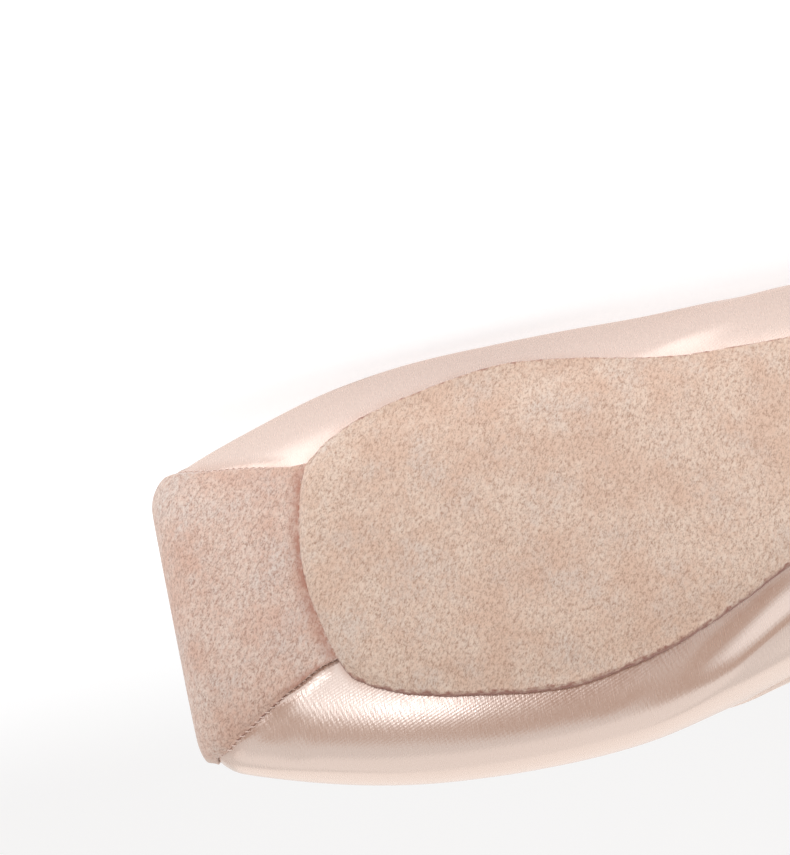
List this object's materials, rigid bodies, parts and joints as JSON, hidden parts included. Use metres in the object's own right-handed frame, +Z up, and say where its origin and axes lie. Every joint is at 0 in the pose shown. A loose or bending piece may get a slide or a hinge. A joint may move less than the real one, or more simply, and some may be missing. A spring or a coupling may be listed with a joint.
{
  "type": "pointe shoe",
  "caption": "Satin pointe shoe for the right foot, lying on its inner side, with a flat suede-covered platform at the toe, a narrow waisted suede outsole and an open collar.",
  "frame": {"origin": "middle of the footprint of the shoe as it lies, on the floor", "axes": "+Y runs from the platform at the toe to the heel, +Z is up, and -X is the side to which the sole faces. The inner side of the foot is down."},
  "size_m": [0.0574, 0.2356, 0.0779],
  "materials": {
    "satin": "satin",
    "outsole_suede": "matt nap",
    "patch_suede": "matt nap",
    "lining_cloth": "matt"
  },
  "bodies": {
    "root": {"upper": "satin", "outsole": "outsole_suede", "insole": "lining_cloth", "toe_patch": "patch_suede"}
  },
  "joints": []
}
